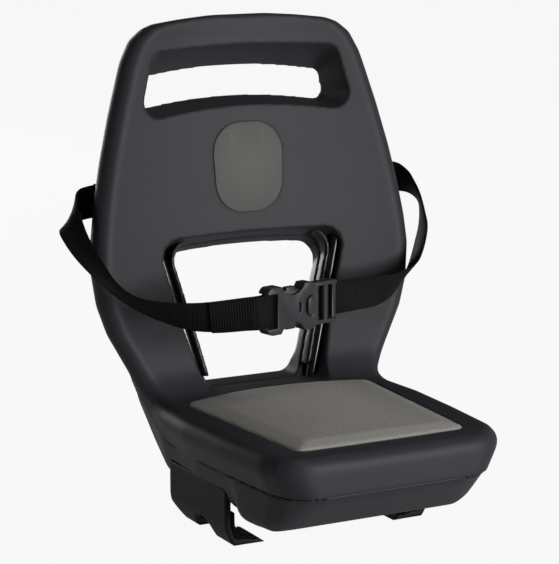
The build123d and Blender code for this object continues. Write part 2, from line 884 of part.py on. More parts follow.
with BuildPart() as clamp_nuts:
    with BuildSketch(Plane.XY.offset(pocket_ceiling)):
        with Locations(*bolt_spots):
            RegularPolygon(nut_radius, 6)
            Circle(bolt_radius, mode=Mode.SUBTRACT)
    extrude(amount=nut_height)
clamp_nuts.part.label = "clamp_nuts"
export_step(clamp_nuts.part, "parts/clamp_nuts.step")

with BuildPart() as shell_screws:
    with BuildSketch(back_plane.offset(-screw_seat)):
        with Locations(*both_sides(back_screws)):
            Circle(screw_radius)
    extrude(amount=screw_seat + screw_grip)
    with BuildSketch(back_plane.offset(-screw_seat)):
        with Locations(*both_sides(back_screws)):
            Circle(screw_head_radius)
    extrude(amount=-screw_head_height)
    with BuildSketch(Plane.XY.offset(seam_z - screw_seat)):
        with Locations(*both_sides(base_screws)):
            Circle(screw_radius)
    extrude(amount=screw_seat + screw_grip)
    with BuildSketch(Plane.XY.offset(seam_z - screw_seat)):
        with Locations(*both_sides(base_screws)):
            Circle(screw_head_radius)
    extrude(amount=-screw_head_height)
shell_screws.part.label = "shell_screws"
export_step(shell_screws.part, "parts/shell_screws.step")

# Buckle plane: X along the strap, Y up, Z away from the sitter
yaw = math.radians(buckle_yaw)
buckle_plane = Plane(
    origin=buckle_at,
    x_dir=(math.cos(yaw), math.sin(yaw), 0),
    z_dir=(math.sin(yaw), -math.cos(yaw), 0),
)
half_thick = buckle_thick / 2
throat_depth = half_thick - buckle_wall
housing_slot_x = housing_end + bar_width + web_slot / 2
bar_length = strap_width + 4 * strap_gap

with BuildPart() as buckle_housing:
    with BuildSketch(buckle_plane.offset(-half_thick)):
        with Locations(((housing_end + mouth) / 2, 0)):
            RectangleRounded(mouth - housing_end, buckle_width, buckle_corner_radius)
        with Locations((window_x, buckle_width / 2 + window_radius - window_depth)):
            Circle(window_radius, mode=Mode.SUBTRACT)
        with Locations((window_x, -buckle_width / 2 - window_radius + window_depth)):
            Circle(window_radius, mode=Mode.SUBTRACT)
        with Locations((housing_slot_x, 0)):
            Rectangle(web_slot, bar_length, mode=Mode.SUBTRACT)
    extrude(amount=buckle_thick)
    with BuildSketch(buckle_plane.offset(-throat_depth)):
        with Locations(((prong_end - throat_end_gap + mouth + root) / 2, 0)):
            Rectangle(mouth + root - prong_end + throat_end_gap, 2 * throat_half)
    extrude(amount=2 * throat_depth, mode=Mode.SUBTRACT)
    with BuildSketch(buckle_plane.offset(bar_thick / 2), buckle_plane.offset(-bar_thick / 2 - rise)):
        with Locations((housing_end + bar_width / 2 - root, 0)):
            Rectangle(bar_width + 2 * root, bar_length)
    extrude(amount=rise, mode=Mode.SUBTRACT)
    with BuildSketch(buckle_plane):
        with Locations((button_x, 0)):
            SlotOverall(button_long, button_wide, rotation=90)
    extrude(amount=buckle_thick, mode=Mode.SUBTRACT)
buckle_housing.part.label = "buckle_housing"
export_step(buckle_housing.part, "parts/buckle_housing.step")

with BuildPart() as buckle_tongue:
    ladder = 3 * bar_width + 2 * web_slot
    with BuildSketch(buckle_plane.offset(-tongue_thick / 2)):
        with Locations((mouth + ladder / 2, 0)):
            RectangleRounded(ladder, tongue_width, ladder_corner_radius)
        for step in (0, 1):
            with Locations((mouth + bar_width + web_slot / 2 + step * (bar_width + web_slot), 0)):
                Rectangle(web_slot, bar_length, mode=Mode.SUBTRACT)
    extrude(amount=tongue_thick)
    with BuildSketch(buckle_plane.offset(bar_thick / 2), buckle_plane.offset(-bar_thick / 2 - rise)):
        with Locations((mouth + ladder - bar_width / 2 + root, 0)):
            Rectangle(bar_width + 2 * root, bar_length)
    extrude(amount=rise, mode=Mode.SUBTRACT)
    with BuildSketch(buckle_plane.offset(-prong_thick / 2)):
        for side in (-1, 1):
            with Locations(((prong_end + mouth + root) / 2, side * (prong_gap + prong_width / 2))):
                Rectangle(mouth + root - prong_end, prong_width)
            with Locations((window_x, side * (prong_gap + prong_width + lug_out / 2 - root))):
                Rectangle(lug_long, lug_out + 2 * root)
    extrude(amount=prong_thick)
buckle_tongue.part.label = "buckle_tongue"
export_step(buckle_tongue.part, "parts/buckle_tongue.step")

with BuildPart() as release_button:
    with BuildSketch(buckle_plane.offset(throat_depth)):
        with Locations((button_x, 0)):
            SlotOverall(button_long - 2 * button_clearance, button_wide - 2 * button_clearance, rotation=90)
    extrude(amount=buckle_wall + button_proud)
    with BuildSketch(buckle_plane.offset(throat_depth)):
        with Locations((button_x, 0)):
            Rectangle(button_wide + 2 * button_lap, button_long)
    extrude(amount=-button_flange)
release_button.part.label = "release_button"
export_step(release_button.part, "parts/release_button.step")


# Stations of the strap's free runs: middle of the webbing and its lower-to-upper direction
rear_up = (0, lean, 1)


def on_rear(x):
    return tuple(back_plane.from_local_coords((x, strap_up, -cover_depth - strap_gap - strap_thick / 2)))


# Point beside the widest part of the backrest, out from its side and back from the bolsters
def beside(side, out, back, z):
    return (side * (wide_half + out), crest_y + back, z)


left_run = (
    (beside(-1, -53.5, -53.5, 133), (-0.16, -0.3, 0.93)),
    (beside(-1, -25.5, -29.5, 138), (-0.32, -0.72, 0.64)),
    (beside(-1, -7.5, -13.5, 150), (-0.24, -0.84, 0.48)),
    (beside(-1, 6.5, 6.5, 173), (0.1, -0.8, 0.6)),
    (beside(-1, 11, 23.5, 189), (0.36, -0.76, 0.55)),
    (beside(-1, 9.5, 34.5, 199), (0.45, -0.2, 0.87)),
    (beside(-1, -4.5, 48.5, 206), (0.15, 0, 0.98)),
)
strap_back_x = wide_half - strap_back_inset
lie_x = strap_back_x - strap_lie
rear_run = tuple((on_rear(x), rear_up) for x in (-strap_back_x, -lie_x, lie_x, strap_back_x))
right_run = (
    (beside(1, 3.5, 51.5, 209), (-0.1, 0, 0.99)),
    (beside(1, 15.5, 39.5, 204), (-0.36, -0.44, 0.8)),
    (beside(1, 17.5, 25.5, 192), (-0.44, -0.84, 0.28)),
    (beside(1, 14.5, 16.5, 170), (-0.32, -0.94, 0.04)),
    (beside(1, -6, -3.5, 145.2), (-0.36, -0.92, 0.16)),
    (beside(1, -30.5, -15.5, 133), (-0.4, -0.6, 0.68)),
    (beside(1, -53.5, -22.5, 131), (-0.14, -0.1, 0.98)),
)


def along_buckle(x):
    return tuple(buckle_plane.from_local_coords(Vector(x, 0, -(bar_thick + strap_thick) / 2)))


# Point on a smooth curve between the middle two of four
def eased(points, share):
    start, first, second, end = points
    bend = (first * 3 - second * 3 + end - start) * share**3
    bow = (start * 2 - first * 5 + second * 4 - end) * share**2
    return first + ((second - start) * share + bow + bend) / 2


def strap_run(stations):
    middles = [Vector(*middle) for middle, upward in stations]
    upwards = [Vector(*upward) for middle, upward in stations]
    middles = [middles[0] * 2 - middles[1], *middles, middles[-1] * 2 - middles[-2]]
    upwards = [upwards[0], *upwards, upwards[-1]]
    route = []
    for place in range(len(stations) - 1):
        for share in (0, 0.5):
            middle = eased(middles[place:place + 4], share)
            route.append((middle, eased(upwards[place:place + 4], share)))
    route.append((middles[-2], upwards[-2]))
    half_wide = strap_width / 2
    half_thin = strap_thick / 2
    section = [(half_wide, half_thin), (half_wide, -half_thin)]
    section += [(-half_wide, -half_thin), (-half_wide, half_thin)]
    corners = []
    for place, (middle, upward) in enumerate(route):
        before = route[max(place - 1, 0)][0]
        after = route[min(place + 1, len(route) - 1)][0]
        plane = Plane(origin=middle, x_dir=upward, z_dir=(after - before).normalized())
        corners.append([plane.from_local_coords(Vector(across, out, 0)) for across, out in section])
    faces = [Face(Wire.make_polygon(corners[0])), Face(Wire.make_polygon(corners[-1]))]
    for near, far in zip(corners, corners[1:]):
        for first in range(4):
            second = (first + 1) % 4
            faces.append(Face(Wire.make_polygon((near[first], near[second], far[second]))))
            faces.append(Face(Wire.make_polygon((near[first], far[second], far[first]))))
    return Solid(Shell(faces))


# Fold of the webbing round a bar: a strip behind it, a half turn in the slot and a strip in front
def strap_fold(bar_x, side):
    with BuildPart() as fold:
        with BuildSketch(Plane(buckle_plane.origin, x_dir=buckle_plane.x_dir, z_dir=-buckle_plane.y_dir)):
            reach = side * fold_long
            for layer in (-1, 1):
                with Locations((bar_x + reach / 2, layer * (bar_thick + strap_thick) / 2)):
                    Rectangle(fold_long, strap_thick)
            with Locations((bar_x, 0)):
                Circle(bar_thick / 2 + strap_thick)
                Circle(bar_thick / 2, mode=Mode.SUBTRACT)
            with Locations((bar_x + side * rise / 2, 0)):
                Rectangle(rise, bar_thick, mode=Mode.SUBTRACT)
        extrude(amount=strap_width / 2, both=True)
    return fold.part


housing_bar_x = housing_end + bar_width
tongue_bar_x = mouth + ladder - bar_width
left_end = along_buckle(housing_bar_x - fold_long + root)
right_end = along_buckle(tongue_bar_x + fold_long - root)
upright = (0, 0, 1)
with BuildPart() as waist_strap:
    add(strap_run(((left_end, upright), *left_run, *rear_run, *right_run, (right_end, upright))))
    add(strap_fold(housing_bar_x, -1))
    add(strap_fold(tongue_bar_x, 1))
waist_strap.part.label = "waist_strap"
export_step(waist_strap.part, "parts/waist_strap.step")
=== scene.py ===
import bpy
import math
from mathutils import Matrix, Vector


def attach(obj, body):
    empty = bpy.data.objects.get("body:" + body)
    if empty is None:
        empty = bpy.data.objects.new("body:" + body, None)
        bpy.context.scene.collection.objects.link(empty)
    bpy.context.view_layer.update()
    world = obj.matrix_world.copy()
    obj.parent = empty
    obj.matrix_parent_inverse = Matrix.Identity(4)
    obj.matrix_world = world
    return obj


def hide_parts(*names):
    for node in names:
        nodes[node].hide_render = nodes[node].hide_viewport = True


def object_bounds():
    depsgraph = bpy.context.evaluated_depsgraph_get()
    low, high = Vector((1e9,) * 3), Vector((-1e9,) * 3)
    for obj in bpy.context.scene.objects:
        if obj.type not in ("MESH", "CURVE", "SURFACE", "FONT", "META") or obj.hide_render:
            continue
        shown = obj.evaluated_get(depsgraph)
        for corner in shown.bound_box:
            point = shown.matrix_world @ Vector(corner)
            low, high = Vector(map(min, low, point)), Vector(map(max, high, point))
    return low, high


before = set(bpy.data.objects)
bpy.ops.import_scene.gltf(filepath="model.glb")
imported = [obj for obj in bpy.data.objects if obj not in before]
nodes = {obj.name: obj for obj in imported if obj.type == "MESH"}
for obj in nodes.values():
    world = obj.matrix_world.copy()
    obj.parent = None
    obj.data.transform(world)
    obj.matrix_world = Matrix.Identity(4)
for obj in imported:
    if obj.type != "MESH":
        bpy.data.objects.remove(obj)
cadBounds = [list(corner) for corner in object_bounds()]
mm = 0.001
print("frame:", len(nodes), "nodes")


def linearColour(code):  # sRGB hex to linear
    channels = [int(code[place:place + 2], 16) / 255 for place in (0, 2, 4)]
    return [c / 12.92 if c <= 0.04045 else ((c + 0.055) / 1.055) ** 2.4 for c in channels] + [1]


def addNode(material, kind, inputs, **settings):  # a node with its settings and links
    tree = material.node_tree
    node = tree.nodes.new(kind)
    for name, value in settings.items():
        setattr(node, name, value)
    for name, value in inputs.items():
        if isinstance(value, bpy.types.NodeSocket):
            tree.links.new(value, node.inputs[name])
        else:
            node.inputs[name].default_value = value
    return node


def newMaterial(name, roughness, ior, shine=0.5):  # shine is 0.5 for a clean surface, less for a matt skin
    material = bpy.data.materials.new(name)
    material.use_nodes = True
    shader = material.node_tree.nodes["Principled BSDF"]
    shader.inputs["Roughness"].default_value = roughness
    shader.inputs["IOR"].default_value = ior
    shader.inputs["Specular IOR Level"].default_value = shine
    return material, shader


def link(material, socket, shader, name):
    material.node_tree.links.new(socket, shader.inputs[name])


# Finishes: grain, rib and other pattern sizes and bump depths are in millimetres

# Polypropylene, injection moulded in a spark-eroded tool: dark, matt, with a fine even grain
shellFinish = {
    "colour": "36373c", "paleColour": "44454a", "roughness": (0.44, 0.56), "ior": 1.49, "shine": 0.3,
    "grain": 1.3, "mottle": 45, "mottleShare": 0.35, "bump": 0.35, "depth": 0.12,
}
polypropylene, shader = newMaterial(
    "mouldedPolypropylene", sum(shellFinish["roughness"]) / 2, shellFinish["ior"], shellFinish["shine"])
place = addNode(polypropylene, "ShaderNodeTexCoord", {})
grain = addNode(polypropylene, "ShaderNodeTexNoise", {
    "Vector": place.outputs["Object"], "Scale": 1 / (shellFinish["grain"] * mm), "Detail": 3})
mottle = addNode(polypropylene, "ShaderNodeTexNoise", {
    "Vector": place.outputs["Object"], "Scale": 1 / (shellFinish["mottle"] * mm), "Detail": 2})
cloudy = addNode(polypropylene, "ShaderNodeMix", {
    0: shellFinish["mottleShare"], 2: grain.outputs["Fac"], 3: mottle.outputs["Fac"]})
tint = addNode(polypropylene, "ShaderNodeMix", {
    0: cloudy.outputs[0],
    6: linearColour(shellFinish["colour"]),
    7: linearColour(shellFinish["paleColour"]),
}, data_type="RGBA")
gloss = addNode(polypropylene, "ShaderNodeMapRange", {
    "Value": grain.outputs["Fac"],
    "To Min": shellFinish["roughness"][0],
    "To Max": shellFinish["roughness"][1],
})
bump = addNode(polypropylene, "ShaderNodeBump", {
    "Height": grain.outputs["Fac"], "Strength": shellFinish["bump"], "Distance": shellFinish["depth"] * mm})
link(polypropylene, tint.outputs[2], shader, "Base Color")
link(polypropylene, gloss.outputs[0], shader, "Roughness")
link(polypropylene, bump.outputs[0], shader, "Normal")

# The same polypropylene where the rim shows in the opening, polished in the tool for a soft gloss; its
# near-black colour is painted shade inside the opening
rimShadeFinish = {"colour": "0d0d0f", "paleColour": "131315", "roughness": 0.28, "ior": 1.49, "ripple": 9}
shadePaintedRim, shader = newMaterial("shadePaintedPolypropylene", rimShadeFinish["roughness"], rimShadeFinish["ior"])
place = addNode(shadePaintedRim, "ShaderNodeTexCoord", {})
ripple = addNode(shadePaintedRim, "ShaderNodeTexNoise", {
    "Vector": place.outputs["Object"], "Scale": 1 / (rimShadeFinish["ripple"] * mm), "Detail": 1})
tint = addNode(shadePaintedRim, "ShaderNodeMix", {
    0: ripple.outputs["Fac"],
    6: linearColour(rimShadeFinish["colour"]),
    7: linearColour(rimShadeFinish["paleColour"]),
}, data_type="RGBA")
link(shadePaintedRim, tint.outputs[2], shader, "Base Color")

# Closed-cell foam with a grained skin: pale, warm and dull, speckled by its grain
foamFinish = {
    "colour": "b6b3ad", "paleColour": "dad7d0", "roughness": 0.78, "ior": 1.45, "shine": 0.25,
    "grain": 1.3, "speckle": (0.3, 0.7), "pebble": 2.2, "bump": 0.4, "depth": 0.2,
}
foam, shader = newMaterial("grainedFoam", foamFinish["roughness"], foamFinish["ior"], foamFinish["shine"])
place = addNode(foam, "ShaderNodeTexCoord", {})
grain = addNode(foam, "ShaderNodeTexNoise", {
    "Vector": place.outputs["Object"],
    "Scale": 1 / (foamFinish["grain"] * mm),
    "Detail": 4,
    "Roughness": 0.6,
})
pebble = addNode(foam, "ShaderNodeTexVoronoi", {
    "Vector": place.outputs["Object"], "Scale": 1 / (foamFinish["pebble"] * mm)})
speckle = addNode(foam, "ShaderNodeMapRange", {
    "Value": grain.outputs["Fac"],
    "From Min": foamFinish["speckle"][0],
    "From Max": foamFinish["speckle"][1],
})
tint = addNode(foam, "ShaderNodeMix", {
    0: speckle.outputs[0],
    6: linearColour(foamFinish["colour"]),
    7: linearColour(foamFinish["paleColour"]),
}, data_type="RGBA")
height = addNode(foam, "ShaderNodeMath", {
    0: grain.outputs["Fac"], 1: pebble.outputs["Distance"]}, operation="ADD")
bump = addNode(foam, "ShaderNodeBump", {
    "Height": height.outputs[0], "Strength": foamFinish["bump"], "Distance": foamFinish["depth"] * mm})
link(foam, tint.outputs[2], shader, "Base Color")
link(foam, bump.outputs[0], shader, "Normal")

# Polyester webbing, ribbed across: near black, with painted highlights on the ribs and painted shade in the
# gaps between them
# the real ribs are 1.2 mm apart and are drawn coarser, so that they show
webFinish = {
    "colour": "08080a", "paleColour": "39393d", "roughness": 0.72, "ior": 1.5, "shine": 0.12,
    "rib": 2.0, "waver": 0.6, "yarn": 0.9, "bump": 0.8, "depth": 0.4,
}
oneBandScale = math.pi / 10  # a wave texture of this scale has one band a metre
webbing, shader = newMaterial("wovenPolyester", webFinish["roughness"], webFinish["ior"], webFinish["shine"])
place = addNode(webbing, "ShaderNodeUVMap", {}, uv_map="strapMap")
ribs = addNode(webbing, "ShaderNodeTexWave", {
    "Vector": place.outputs["UV"],
    "Scale": oneBandScale / (webFinish["rib"] * mm),
    "Distortion": webFinish["waver"],
    "Detail": 1,
}, wave_type="BANDS", bands_direction="X")
yarn = addNode(webbing, "ShaderNodeTexNoise", {
    "Vector": place.outputs["UV"], "Scale": 1 / (webFinish["yarn"] * mm), "Detail": 2})
ribShadingAndYarn = addNode(webbing, "ShaderNodeMath", {
    0: ribs.outputs["Fac"], 1: yarn.outputs["Fac"]}, operation="MULTIPLY")
# painted light: the ribs are coloured paler as a highlight and the gaps darker as shade, mixed with the
# yarn's random tone
tint = addNode(webbing, "ShaderNodeMix", {
    0: ribShadingAndYarn.outputs[0],
    6: linearColour(webFinish["colour"]),
    7: linearColour(webFinish["paleColour"]),
}, data_type="RGBA")
bump = addNode(webbing, "ShaderNodeBump", {
    "Height": ribShadingAndYarn.outputs[0], "Strength": webFinish["bump"], "Distance": webFinish["depth"] * mm})
link(webbing, tint.outputs[2], shader, "Base Color")
link(webbing, bump.outputs[0], shader, "Normal")

# Acetal, moulded in a fine-blasted tool: dark grey with a soft satin gloss
buckleFinish = {
    "colour": "3a3a3f", "paleColour": "424247", "roughness": 0.36, "ior": 1.48,
    "grain": 0.6, "bump": 0.15, "depth": 0.05,
}
acetal, shader = newMaterial("mouldedAcetal", buckleFinish["roughness"], buckleFinish["ior"])
place = addNode(acetal, "ShaderNodeTexCoord", {})
grain = addNode(acetal, "ShaderNodeTexNoise", {
    "Vector": place.outputs["Object"], "Scale": 1 / (buckleFinish["grain"] * mm), "Detail": 2})
tint = addNode(acetal, "ShaderNodeMix", {
    0: grain.outputs["Fac"],
    6: linearColour(buckleFinish["colour"]),
    7: linearColour(buckleFinish["paleColour"]),
}, data_type="RGBA")
bump = addNode(acetal, "ShaderNodeBump", {
    "Height": grain.outputs["Fac"], "Strength": buckleFinish["bump"], "Distance": buckleFinish["depth"] * mm})
link(acetal, tint.outputs[2], shader, "Base Color")
link(acetal, bump.outputs[0], shader, "Normal")

# Glass-filled nylon: darker and flatter than the shells, with a faint streak from the fibres
clampFinish = {
    "colour": "141416", "paleColour": "1d1d1f", "roughness": 0.52, "ior": 1.53, "shine": 0.2,
    "streak": 6, "streakStretch": (1, 0.25, 1), "grain": 0.8, "bump": 0.25, "depth": 0.08,
}
nylon, shader = newMaterial(
    "glassFilledNylon", clampFinish["roughness"], clampFinish["ior"], clampFinish["shine"])
place = addNode(nylon, "ShaderNodeTexCoord", {})
stretch = addNode(nylon, "ShaderNodeMapping", {
    "Vector": place.outputs["Object"], "Scale": clampFinish["streakStretch"]})
streak = addNode(nylon, "ShaderNodeTexNoise", {
    "Vector": stretch.outputs[0], "Scale": 1 / (clampFinish["streak"] * mm), "Detail": 3})
grain = addNode(nylon, "ShaderNodeTexNoise", {
    "Vector": place.outputs["Object"], "Scale": 1 / (clampFinish["grain"] * mm), "Detail": 2})
tint = addNode(nylon, "ShaderNodeMix", {
    0: streak.outputs["Fac"],
    6: linearColour(clampFinish["colour"]),
    7: linearColour(clampFinish["paleColour"]),
}, data_type="RGBA")
bump = addNode(nylon, "ShaderNodeBump", {
    "Height": grain.outputs["Fac"], "Strength": clampFinish["bump"], "Distance": clampFinish["depth"] * mm})
link(nylon, tint.outputs[2], shader, "Base Color")
link(nylon, bump.outputs[0], shader, "Normal")

# Black rubber with moulded pimples that grip the rail; the pimple tops are painted paler as a highlight and
# the gaps between them darker as shade
liningFinish = {
    "colour": "0b0b0c", "paleColour": "1b1b1c", "roughness": 0.85, "ior": 1.52, "shine": 0.15,
    "pimple": 2.4, "unevenness": 0.15, "bump": 0.9, "depth": 0.8,
}
rubber, shader = newMaterial(
    "pimpledRubber", liningFinish["roughness"], liningFinish["ior"], liningFinish["shine"])
place = addNode(rubber, "ShaderNodeTexCoord", {})
pimple = addNode(rubber, "ShaderNodeTexVoronoi", {
    "Vector": place.outputs["Object"],
    "Scale": 1 / (liningFinish["pimple"] * mm),
    "Randomness": liningFinish["unevenness"],
})
# painted light: paler at the middle of each pimple, darker between the pimples
tint = addNode(rubber, "ShaderNodeMix", {
    0: pimple.outputs["Distance"],
    6: linearColour(liningFinish["paleColour"]),
    7: linearColour(liningFinish["colour"]),
}, data_type="RGBA")
bump = addNode(rubber, "ShaderNodeBump", {
    "Height": pimple.outputs["Distance"],
    "Strength": liningFinish["bump"],
    "Distance": liningFinish["depth"] * mm,
}, invert=True)
link(rubber, tint.outputs[2], shader, "Base Color")
link(rubber, bump.outputs[0], shader, "Normal")

# Steel rod under gloss black powder coat: a clear highlight, slightly rippled like orange peel
stayFinish = {
    "colour": "0a0a0c", "paleColour": "121214", "roughness": 0.22, "ior": 1.5,
    "coat": 0.6, "coatRoughness": 0.08, "peel": 3.5, "bump": 0.2, "depth": 0.06,
}
powderCoat, shader = newMaterial("powderCoatedSteel", stayFinish["roughness"], stayFinish["ior"])
shader.inputs["Coat Weight"].default_value = stayFinish["coat"]
shader.inputs["Coat Roughness"].default_value = stayFinish["coatRoughness"]
place = addNode(powderCoat, "ShaderNodeTexCoord", {})
peel = addNode(powderCoat, "ShaderNodeTexNoise", {
    "Vector": place.outputs["Object"], "Scale": 1 / (stayFinish["peel"] * mm), "Detail": 1})
tint = addNode(powderCoat, "ShaderNodeMix", {
    0: peel.outputs["Fac"],
    6: linearColour(stayFinish["colour"]),
    7: linearColour(stayFinish["paleColour"]),
}, data_type="RGBA")
bump = addNode(powderCoat, "ShaderNodeBump", {
    "Height": peel.outputs["Fac"], "Strength": stayFinish["bump"], "Distance": stayFinish["depth"] * mm})
link(powderCoat, tint.outputs[2], shader, "Base Color")
link(powderCoat, bump.outputs[0], shader, "Normal")

# Zinc-plated steel: bright and slightly blue, with a cloudy passivated film
zincFinish = {"colour": "9fa3a8", "paleColour": "c3c6c9", "roughness": (0.25, 0.45), "ior": 1.5, "cloud": 2.5}
zinc, shader = newMaterial("zincPlatedSteel", sum(zincFinish["roughness"]) / 2, zincFinish["ior"])
shader.inputs["Metallic"].default_value = 1
place = addNode(zinc, "ShaderNodeTexCoord", {})
cloud = addNode(zinc, "ShaderNodeTexNoise", {
    "Vector": place.outputs["Object"], "Scale": 1 / (zincFinish["cloud"] * mm), "Detail": 3})
tint = addNode(zinc, "ShaderNodeMix", {
    0: cloud.outputs["Fac"],
    6: linearColour(zincFinish["colour"]),
    7: linearColour(zincFinish["paleColour"]),
}, data_type="RGBA")
gloss = addNode(zinc, "ShaderNodeMapRange", {
    "Value": cloud.outputs["Fac"],
    "To Min": zincFinish["roughness"][0],
    "To Max": zincFinish["roughness"][1],
})
link(zinc, tint.outputs[2], shader, "Base Color")
link(zinc, gloss.outputs[0], shader, "Roughness")

# Pale grey polypropylene of the inlay, with the same kind of moulded grain as the shell
inlayFinish = {
    "colour": "676663", "paleColour": "73726f", "roughness": 0.5, "ior": 1.49, "shine": 0.3,
    "grain": 1.1, "bump": 0.3, "depth": 0.1,
}
inlayPlastic, shader = newMaterial(
    "palePolypropylene", inlayFinish["roughness"], inlayFinish["ior"], inlayFinish["shine"])
place = addNode(inlayPlastic, "ShaderNodeTexCoord", {})
grain = addNode(inlayPlastic, "ShaderNodeTexNoise", {
    "Vector": place.outputs["Object"], "Scale": 1 / (inlayFinish["grain"] * mm), "Detail": 3})
tint = addNode(inlayPlastic, "ShaderNodeMix", {
    0: grain.outputs["Fac"],
    6: linearColour(inlayFinish["colour"]),
    7: linearColour(inlayFinish["paleColour"]),
}, data_type="RGBA")
bump = addNode(inlayPlastic, "ShaderNodeBump", {
    "Height": grain.outputs["Fac"], "Strength": inlayFinish["bump"], "Distance": inlayFinish["depth"] * mm})
link(inlayPlastic, tint.outputs[2], shader, "Base Color")
link(inlayPlastic, bump.outputs[0], shader, "Normal")
print("materials:", len(bpy.data.materials))

# Shared by all pieces: angles in degrees, the gap in millimetres
meshHabits = {"mergeGap": 0.002, "smoothing": 0.5, "creaseAngle": 40, "flatAngle": 1, "bevelAngle": 35}


def pick(piece):
    bpy.ops.object.select_all(action="DESELECT")
    piece.select_set(True)
    bpy.context.view_layer.objects.active = piece


def nodeCopy(node, name):  # merged copy of a CAD node
    piece = bpy.data.objects.new(name, nodes[node].data.copy())
    bpy.context.scene.collection.objects.link(piece)
    pick(piece)
    bpy.ops.mesh.customdata_custom_splitnormals_clear()
    bpy.ops.object.mode_set(mode="EDIT")
    bpy.ops.mesh.select_all(action="SELECT")
    bpy.ops.mesh.remove_doubles(threshold=meshHabits["mergeGap"] * mm)
    bpy.ops.object.mode_set(mode="OBJECT")
    return piece


def applyModifier(piece, kind, **settings):
    pick(piece)
    modifier = piece.modifiers.new(kind.lower(), kind)
    for name, value in settings.items():
        setattr(modifier, name, value)
    bpy.ops.object.modifier_apply(modifier=modifier.name)


def dress(piece, node, body, material):
    piece.data.materials.clear()
    piece.data.materials.append(material)
    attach(piece, body)
    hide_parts(node)


def between(value, low, high):  # 0 at low, 1 at high
    return min(max((value - low) / (high - low), 0), 1)


def eased(share):
    return share * share * (3 - 2 * share)


# Seat pad: its outline also keeps the edge of the shell's recess crisp
padSizes = {
    "frontY": -112, "frontHalf": 69.5, "rearY": 48, "rearHalf": 80.5, "bow": 17, "voxel": 2.0, "passes": 2,
    "bottom": 57, "top": 62.5, "edge": 60.3, "slope": 13, "rise": 3.2, "crown": 1.6, "crownReach": 70,
}


def fromLine(x, y, start, end):  # distance to the left of a line
    along = Vector(end) - Vector(start)
    return (along.x * (y - start[1]) - along.y * (x - start[0])) / along.length


def padInside(x, y):  # how far inside the pad's outline
    frontCorner = (padSizes["frontHalf"], padSizes["frontY"])
    rearCorner = (padSizes["rearHalf"], padSizes["rearY"])
    arc = (padSizes["rearHalf"] ** 2 + padSizes["bow"] ** 2) / (2 * padSizes["bow"])
    centre = padSizes["rearY"] + padSizes["bow"] - arc
    return min(
        y - padSizes["frontY"],
        fromLine(abs(x), y, frontCorner, rearCorner),
        arc - math.hypot(x, y - centre),
    )


# Shells: the walls as built, with every moulded edge rounded
# each Edge is how far off the smoothing starts and is full, so the parting, recesses and lips stay crisp
shellSizes = {
    "voxel": 1.2, "triangles": 190000, "passes": 36,
    "panParting": 30, "bend": (40, 83, 53),  # level under the pan, then centre and radius of the bend
    "parting": (95.5, 100, 0.125),  # up the backrest: place, at which height, and lean
    "partingEdge": (1, 6), "funnelEnd": -3, "seam": (-3.6, -0.2, 0.6, 2.1),
    "inlay": (30, 228, 35), "inlayEdge": (3, 7),  # half width, middle, half height
    "recess": (50, 64), "recessEdge": (2.5, 6),
    "lipShare": 0.08, "lipEdge": (4, 8), "rearLipShare": 0.1, "rearLipEdge": (6, 14),
    "guides": (62, 86, 190, 230), "pocket": (20, -40, 68, 20),
    "rim": (-15, 1, 66, 166, 13), "rimShare": 0.4, "rimFacing": 0.6,
}
openingSizes = {  # half width at the foot and at the top, foot, top, arch
    "handle": (92, 79.5, 270, 322.5, 7),
    "opening": (52, 83.5, 60.5, 177, 5),
}
traySizes = {
    "passes": 20, "partingEdge": (4, 12), "screw": (60, -84), "screwEdge": (7, 12), "screwRoom": (9, 16),
    "middle": 14, "front": -46, "clearEdge": (0, 8), "rearEdge": (50, 62),  # between and ahead of the pockets
    "rake": 23, "dip": 5, "flare": 5, "deep": 26,  # at the foot of the front wall
    "rakeSpan": (-118, -70), "dipSpan": (-56, -46), "flareSpan": (60, 90),
    "corner": (68.5, -115.8, 9.6), "cornerRadius": 5.8,
}


def halfOpening(outline, z):
    halfFoot, halfTop, foot, top = outline[:4]
    return halfFoot + (halfTop - halfFoot) * (z - foot) / (top - foot)


def lipDistance(outline, x, z):  # from the outline of an opening
    foot, top, arch = outline[2:]
    half = halfOpening(outline, z)
    bow = arch * (1 - min(abs(x) / half, 1) ** 2)
    return max(abs(x) - half, z - top - bow, foot + bow - z)


def lipWeight(name, x, z, least, edge):
    return least + (1 - least) * between(abs(lipDistance(openingSizes[name], x, z)), *edge)


def partingDistance(y, z):  # ahead of the parting of the shells
    middleY, middleZ, radius = shellSizes["bend"]
    if y < middleY:
        return z - shellSizes["panParting"]
    if z > middleZ:
        partingY, level, lean = shellSizes["parting"]
        return partingY + lean * (z - level) - y
    return radius - math.hypot(y - middleY, z - middleZ)


def screwDistance(x, y):
    screwX, screwY = traySizes["screw"]
    return math.hypot(abs(x) - screwX, y - screwY)


def frontSoftness(x, y, z):
    ahead = partingDistance(y, z)
    if ahead < shellSizes["funnelEnd"]:  # the end of the handle's funnel
        return shellSizes["lipShare"]
    weight = between(ahead, *shellSizes["partingEdge"])
    inlayHalf, inlayMiddle, inlayTall = shellSizes["inlay"]
    inlayDistance = max(abs(x) - inlayHalf, abs(z - inlayMiddle) - inlayTall)
    weight *= between(abs(inlayDistance), *shellSizes["inlayEdge"])
    recessLow, recessHigh = shellSizes["recess"]
    if recessLow < z < recessHigh:
        weight *= between(abs(padInside(x, y)), *shellSizes["recessEdge"])
    for name in openingSizes:
        weight *= lipWeight(name, x, z, shellSizes["lipShare"], shellSizes["lipEdge"])
    return weight


def onRim(x, y, z):  # upright sides of the rear shell's rim, inside the opening
    inner, outer, foot, top, ahead = shellSizes["rim"]
    beside = abs(x) - halfOpening(openingSizes["opening"], z)
    return inner < beside < outer and foot < z < top and abs(partingDistance(y, z)) < ahead


